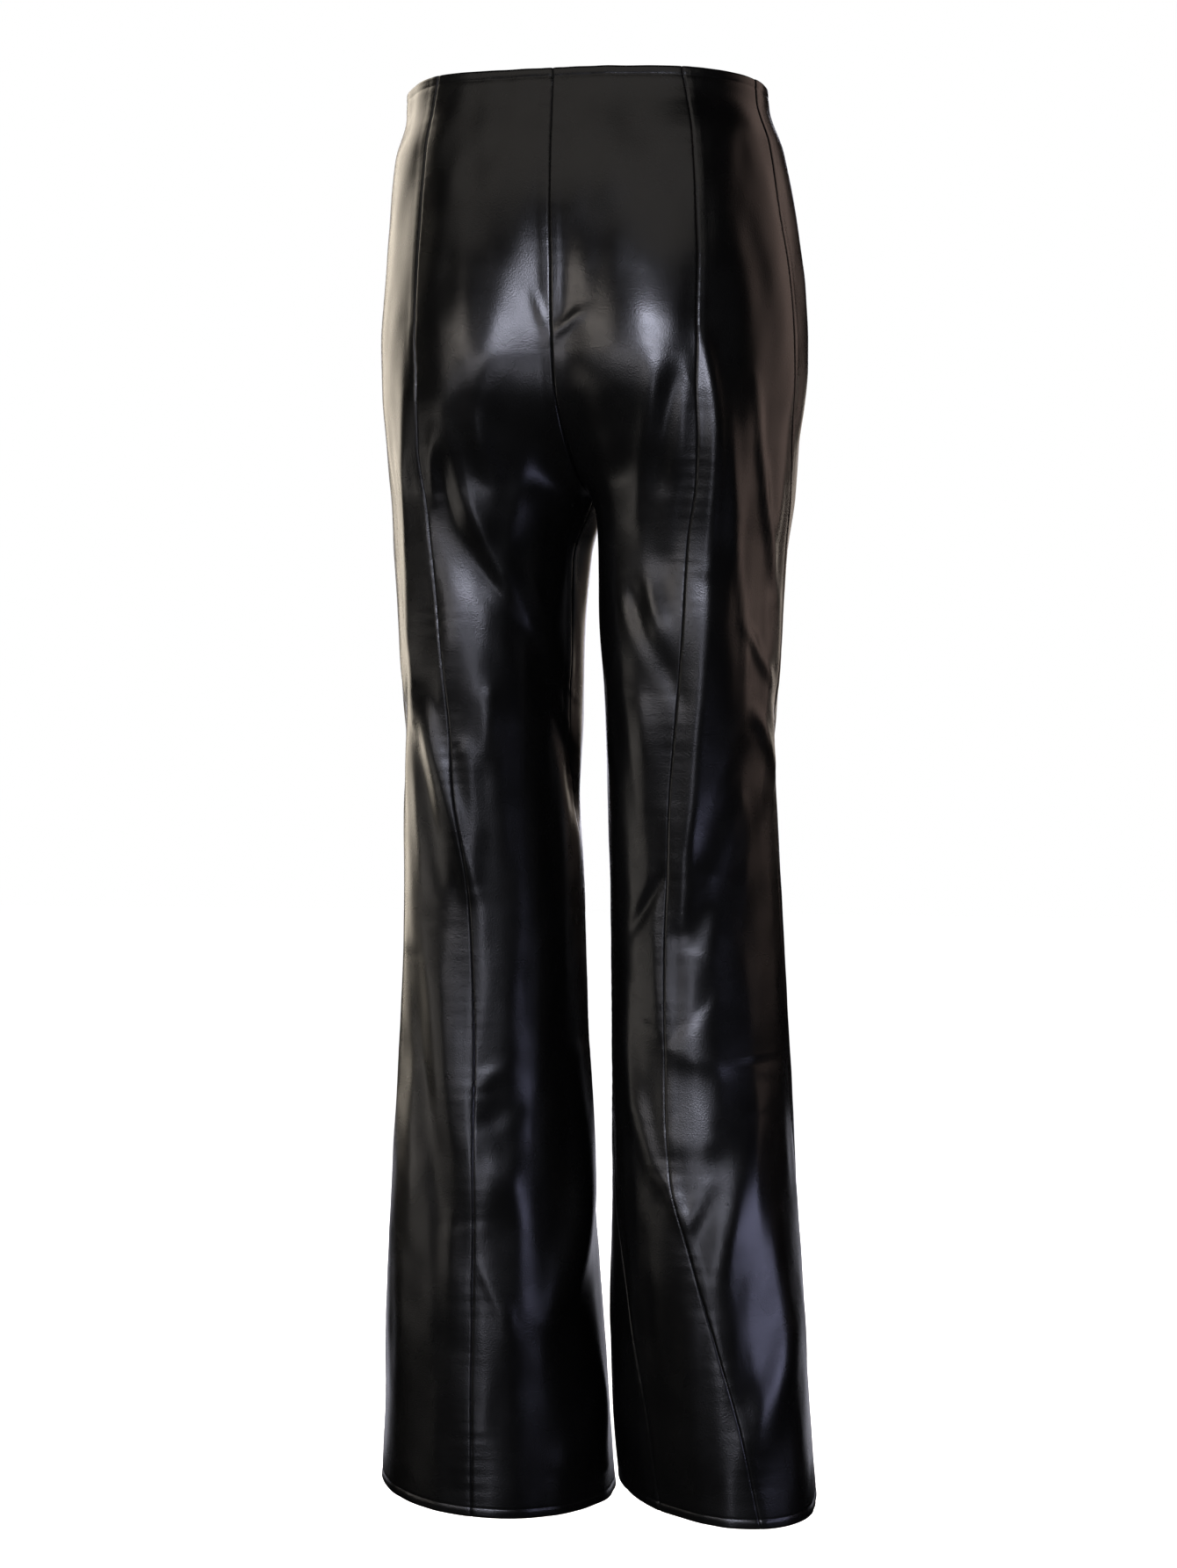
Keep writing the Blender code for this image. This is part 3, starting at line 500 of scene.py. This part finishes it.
def sewing_height(panel, leg, points):
    """Grooves, allowances and puckers beside a panel's two seams."""
    across = np.linalg.norm(np.diff(points, axis=1), axis=-1)
    from_first = np.concatenate([np.zeros((len(points), 1)), np.cumsum(across, axis=1)], axis=1)
    from_last = from_first[:, -1:] - from_first
    drop = -points[..., 2]
    total = np.zeros(drop.shape)
    for away, numbers in zip((from_first, from_last), PANEL_SEAMS[panel]):
        seam = dict(zip(PANEL_SEAM_COLUMNS, numbers))
        seed = seam["ripple"] * 10 + (leg == "right")
        total -= GROOVE_DEPTH * np.exp(-((away / GROOVE_WIDTH) ** GROOVE_EXPONENT))
        past_start = smooth((away - ALLOWANCE_START) / ALLOWANCE_RISE)
        past_end = smooth((away - ALLOWANCE) / ALLOWANCE_FALL + 0.5)
        total += seam["allowance"] * ALLOWANCE_HEIGHT * past_start * (1 - past_end)
        ripples = along_seam(drop, seed, PUCKER_STEP)
        total -= seam["pucker"] * PUCKER_HEIGHT * ripples * np.exp(-away / PUCKER_REACH)
    return total


def edge_height(row, leg):
    """The rolled waist edge, and the hem's roll and stitched line."""
    below_waist = row * SEAT_DROP
    above_hem = (3 - row) * (HEM[leg][0] - RISE)
    total = -WAIST_ROLL_DEPTH * (1 - smooth(below_waist / EDGE_ROLL)) ** 2
    total -= WAIST_LINE_DEPTH * np.exp(-(((below_waist - WAIST_LINE) / WAIST_LINE_WIDTH) ** 2))
    total -= HEM_ROLL_DEPTH * (1 - smooth(above_hem / EDGE_ROLL)) ** 2
    total += HEM_STEP * (1 - smooth((above_hem - HEM_TURN) / HEM_STEP_WIDTH))
    total -= HEM_LINE_DEPTH * np.exp(-(((above_hem - HEM_TURN) / HEM_LINE_WIDTH) ** 2))
    return total


def dressed_sheets(leg, panel):
    """The outer and inner points of a panel with everything that shapes its surface."""
    share, row = np.meshgrid(column_shares(panel), sheet_rows(leg))
    outer = smooth_point(leg, panel, share, row)
    normals = smooth_normal(leg, panel, share, row)
    height = swell_height(outer, normals) + fold_height(outer, normals, FOLDS + CREASES)
    below_seat = smooth((-outer[..., 2] - SEAT_DROP) / (RISE - SEAT_DROP))
    for numbers in WAVES:
        wave = dict(zip(WAVE_COLUMNS, numbers))
        shape = wave_sum(outer, wave["seed"], wave["count"], wave["wavelength"], wave["stretch"])
        height += wave["height"] * shape * (below_seat if wave["legs_only"] else 1.0)
    height += sewing_height(panel, leg, outer) + edge_height(row, leg)
    outer = outer + normals * height[..., None]
    for edge, inside in ((0, 1), (-1, -2)):
        inwards = outer[:, inside] - outer[:, edge]
        outer[:, edge] += inwards * CUT_EDGE_GAP / np.linalg.norm(inwards, axis=-1, keepdims=True)
    return outer, outer - normals * CLOTH, row


def panel_shell(leg, panel, leather, backing):
    """One panel as a closed shell: coated outside, knitted backing inside."""
    outer, inner, row = dressed_sheets(leg, panel)
    rows, columns = outer.shape[:2]
    count = rows * columns
    index = np.arange(count).reshape(rows, columns)
    quads = np.stack([index[:-1, :-1], index[:-1, 1:], index[1:, 1:], index[1:, :-1]], axis=-1).reshape(-1, 4)
    border = np.concatenate([index[:-1, 0], index[-1, :-1], index[:0:-1, -1], index[0, :0:-1]])
    ahead = np.roll(border, -1)
    rim = np.stack([border, ahead, ahead + count, border + count], axis=-1)
    faces = np.concatenate([quads, quads[:, ::-1] + count, rim[:, ::-1]])
    if leg == "right":
        faces = faces[:, ::-1]
    points = np.concatenate([outer.reshape(-1, 3), inner.reshape(-1, 3)])
    data = bpy.data.meshes.new(f"{panel}_{leg}_dressed")
    data.from_pydata(points.tolist(), [], faces.tolist())
    data.materials.append(leather)
    data.materials.append(backing)
    face_row = np.repeat(row[:-1, :1], columns - 1, axis=1).reshape(-1)
    leg_length = HEM[leg][0] - RISE
    coated = (face_row * SEAT_DROP < TURNED_FACING) | ((3 - face_row) * leg_length < TURNED_FACING)
    slots = np.concatenate([np.zeros(len(quads)), np.where(coated, 0, 1), np.zeros(len(rim))])
    data.polygons.foreach_set("material_index", slots.astype(np.int32))
    data.shade_smooth()
    data.set_sharp_from_angle(angle=RIM_ANGLE)
    piece = bpy.data.objects.new(f"{panel}_{leg}_dressed", data)
    bpy.context.scene.collection.objects.link(piece)
    return piece


def linear(hex_colour):
    """An sRGB hex colour as linear red, green, blue and alpha."""
    parts = [int(hex_colour[i : i + 2], 16) / 255 for i in (1, 3, 5)]
    return (*[c / 12.92 if c <= 0.04045 else ((c + 0.055) / 1.055) ** 2.4 for c in parts], 1.0)


def add_node(tree, kind, settings=None, links=None):
    """A node with its settings, which are properties or sockets, and the outputs linked into it."""
    node = tree.nodes.new(kind)
    for name, value in (settings or {}).items():
        if name in node.inputs:
            node.inputs[name].default_value = value
        else:
            setattr(node, name, value)
    for name, source in (links or {}).items():
        tree.links.new(source, node.inputs[name])
    return node


def new_material(name):
    material = bpy.data.materials.new(name)
    material.use_nodes = True
    tree = material.node_tree
    return material, tree, tree.nodes["Principled BSDF"]


# Patterns of the film and of its backing, in metres
GRAIN_SIZE = 0.0011  # embossed grain, really about 0.5 mm across, drawn coarser so that it shows
GRAIN_DEPTH = 0.00012
WEAR_SIZE = 0.040  # slow changes of gloss, where the film is stretched or rubbed
RIB_SPACING = 0.003  # knitted ribs, really 0.9 mm apart, drawn coarser so that they show
RIB_DEPTH = 0.0003
BAND_SPACING = 0.363  # of a Wave texture's diagonal bands at scale 1


def polyurethane_faux_leather():
    """Polyurethane film on knitted cloth, embossed with a fine grain: near black with broad soft gloss."""
    material, tree, shader = new_material("polyurethane_faux_leather_embossed")
    place = add_node(tree, "ShaderNodeTexCoord")
    grain = add_node(
        tree,
        "ShaderNodeTexVoronoi",
        {"feature": "F1", "Scale": 1 / GRAIN_SIZE},
        {"Vector": place.outputs["Object"]},
    )
    wear = add_node(
        tree,
        "ShaderNodeTexNoise",
        {"Scale": 1 / WEAR_SIZE, "Detail": 3.0},
        {"Vector": place.outputs["Object"]},
    )
    gloss = add_node(
        tree,
        "ShaderNodeMapRange",
        {"From Min": 0.35, "From Max": 0.65, "To Min": 0.24, "To Max": 0.30},
        {"Value": wear.outputs["Fac"]},
    )
    bump = add_node(
        tree,
        "ShaderNodeBump",
        {"Strength": 0.45, "Distance": GRAIN_DEPTH},
        {"Height": grain.outputs["Distance"]},
    )
    shader.inputs["Base Color"].default_value = linear("#050505")
    shader.inputs["IOR"].default_value = 1.5
    tree.links.new(gloss.outputs["Result"], shader.inputs["Roughness"])
    tree.links.new(bump.outputs["Normal"], shader.inputs["Normal"])
    return material


COLOUR_A, COLOUR_B, MIXED_COLOUR = 6, 7, 2  # a colour Mix node's sockets, whose names repeat


def brushed_knit_backing():
    """Knitted polyester behind the film, lightly brushed: matt pale grey with fine ribs."""
    material, tree, shader = new_material("polyester_knit_backing_brushed")
    place = add_node(tree, "ShaderNodeTexCoord")
    bands = {"wave_type": "BANDS", "bands_direction": "DIAGONAL", "Scale": BAND_SPACING / RIB_SPACING}
    ribs = add_node(
        tree,
        "ShaderNodeTexWave",
        {**bands, "Distortion": 0.6},
        {"Vector": place.outputs["Object"]},
    )
    shade = add_node(tree, "ShaderNodeMix", {"data_type": "RGBA"}, {"Factor": ribs.outputs["Fac"]})
    shade.inputs[COLOUR_A].default_value = linear("#8f8d8a")
    shade.inputs[COLOUR_B].default_value = linear("#a9a7a3")
    bump = add_node(
        tree,
        "ShaderNodeBump",
        {"Strength": 0.4, "Distance": RIB_DEPTH},
        {"Height": ribs.outputs["Fac"]},
    )
    tree.links.new(shade.outputs[MIXED_COLOUR], shader.inputs["Base Color"])
    tree.links.new(bump.outputs["Normal"], shader.inputs["Normal"])
    shader.inputs["Roughness"].default_value = 0.92
    return material


def dress(leather, backing):
    """The six panels, each in the place of its solid."""
    for leg in SIDE_SIGN:
        for panel in PANEL_SEAMS:
            piece = panel_shell(leg, panel, leather, backing)
            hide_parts(f"{panel}_{leg}")
            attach(piece, "root")


# Camera: level, behind the wearer and a little to their right. Its bearing is in degrees round from
# the front.
CAMERA_TURN = VIEW_TURN["back"]
CAMERA_DISTANCE = 2.3
CAMERA_SIDE = 0.0019  # its own shift to the right
CAMERA_HEIGHT = -0.5106
LENS, SENSOR = 71.6, 36.0  # mm

# Softboxes. turn: degrees round from the camera, to the right in the picture. height: of the
# middle. wide and tall: its size. watts: its power.
SOFTBOX_COLUMNS = ("name", "turn", "height", "distance", "wide", "tall", "colour", "watts")
SOFTBOXES = (
    ("warm_left", -132, 0.10, 1.7, 1.3, 1.9, "#fff4e3", 26.0),
    ("grey_left", -84, -0.85, 2.0, 1.5, 0.30, "#f8f1ea", 3.4),
    ("warm_window", -54, 0.12, 2.5, 0.7, 0.4, "#fff6ee", 7.0),
    ("soft_left", -36, -0.42, 2.5, 1.3, 0.30, "#ebe8ee", 9.5),
    ("low_strip", -8, -0.92, 2.5, 0.5, 0.30, "#e0e0ee", 4.5),
    ("cool_window", -5, 0.18, 2.9, 1.10, 0.34, "#eceeff", 30.0),
    ("cool_window_veil", -5, 0.18, 2.9, 1.70, 0.52, "#eceeff", 40.0),
    ("cool_window_glow", -5, 0.17, 2.9, 2.30, 0.66, "#eceeff", 15.0),
    ("dim_overhead", -19, 2.2, 2.4, 6.0, 1.6, "#fff8f0", 31.0),
    ("cool_low_right", 64, -0.89, 0.8, 0.60, 0.13, "#d2d4fa", 1.6),
    ("brown_right", 112, 0.25, 1.8, 1.8, 1.7, "#ffe2d6", 9.0),
    ("cream_far_right", 157, -0.25, 2.2, 0.5, 0.50, "#fff0e2", 0.9),
    ("front_fill", -180, 0.10, 2.6, 1.4, 1.6, "#f2f2ff", 16.0),
    ("front_low_fill", -180, -0.98, 0.65, 1.2, 0.36, "#f2f2ff", 1.1),
)
FLOOR_DROP, FLOOR_REACH = 1.12, 12.0
PICTURE_GAMMA = 0.84  # a little more contrast, as the photo has


def heading(turn):
    """The level direction at a bearing, in degrees round from the front."""
    turn = math.radians(turn)
    return Vector((math.sin(turn), -math.cos(turn), 0.0))


def add_softbox(name, turn, height, distance, wide, tall, colour, watts):
    """A soft light that faces the middle of the trousers."""
    data = bpy.data.lights.new(name, "AREA")
    data.shape = "RECTANGLE"
    data.size, data.size_y = wide, tall
    data.energy = watts
    data.color = linear(colour)[:3]
    light = bpy.data.objects.new(name, data)
    light.location = heading(CAMERA_TURN + turn) * distance + Vector((0, 0, height))
    aim = Vector((0, 0, CAMERA_HEIGHT)) - light.location
    light.rotation_euler = aim.to_track_quat("-Z", "Y").to_euler()
    bpy.context.scene.collection.objects.link(light)


def white_studio():
    """A white background that lights nothing, and a pale floor that the gloss doesn't mirror."""
    world = bpy.data.worlds.new("white_studio")
    world.use_nodes = True
    world.node_tree.nodes["Background"].inputs["Color"].default_value = linear("#ffffff")
    world.cycles_visibility.glossy = False
    world.cycles_visibility.diffuse = False
    bpy.context.scene.world = world
    material, tree, shader = new_material("pale_seamless_paper_matt")
    shader.inputs["Base Color"].default_value = linear("#f4f4f2")
    shader.inputs["Roughness"].default_value = 0.95
    shader.inputs["Emission Color"].default_value = linear("#ffffff")
    shader.inputs["Emission Strength"].default_value = 1.0
    data = bpy.data.meshes.new("studio_floor")
    quarters = ((-1, -1), (1, -1), (1, 1), (-1, 1))
    corners = [(x * FLOOR_REACH, y * FLOOR_REACH, -FLOOR_DROP) for x, y in quarters]
    data.from_pydata(corners, [], [(0, 1, 2, 3)])
    data.materials.append(material)
    floor = bpy.data.objects.new("studio_floor", data)
    floor.visible_glossy = False
    bpy.context.scene.collection.objects.link(floor)
    bpy.context.scene.view_settings.view_transform = "Standard"
    bpy.context.scene.view_settings.gamma = PICTURE_GAMMA


def photo_camera():
    """A level camera behind the wearer, a little to their right."""
    data = bpy.data.cameras.new("camera")
    data.lens = LENS
    data.sensor_width = SENSOR
    camera = bpy.data.objects.new("camera", data)
    back = heading(CAMERA_TURN)
    right = Vector((-back.y, back.x, 0.0))
    camera.location = back * CAMERA_DISTANCE + right * CAMERA_SIDE + Vector((0, 0, CAMERA_HEIGHT))
    camera.rotation_euler = (-back).to_track_quat("-Z", "Y").to_euler()
    bpy.context.scene.collection.objects.link(camera)
    bpy.context.scene.camera = camera


dress(polyurethane_faux_leather(), brushed_knit_backing())
white_studio()
for softbox in SOFTBOXES:
    add_softbox(**dict(zip(SOFTBOX_COLUMNS, softbox)))
photo_camera()
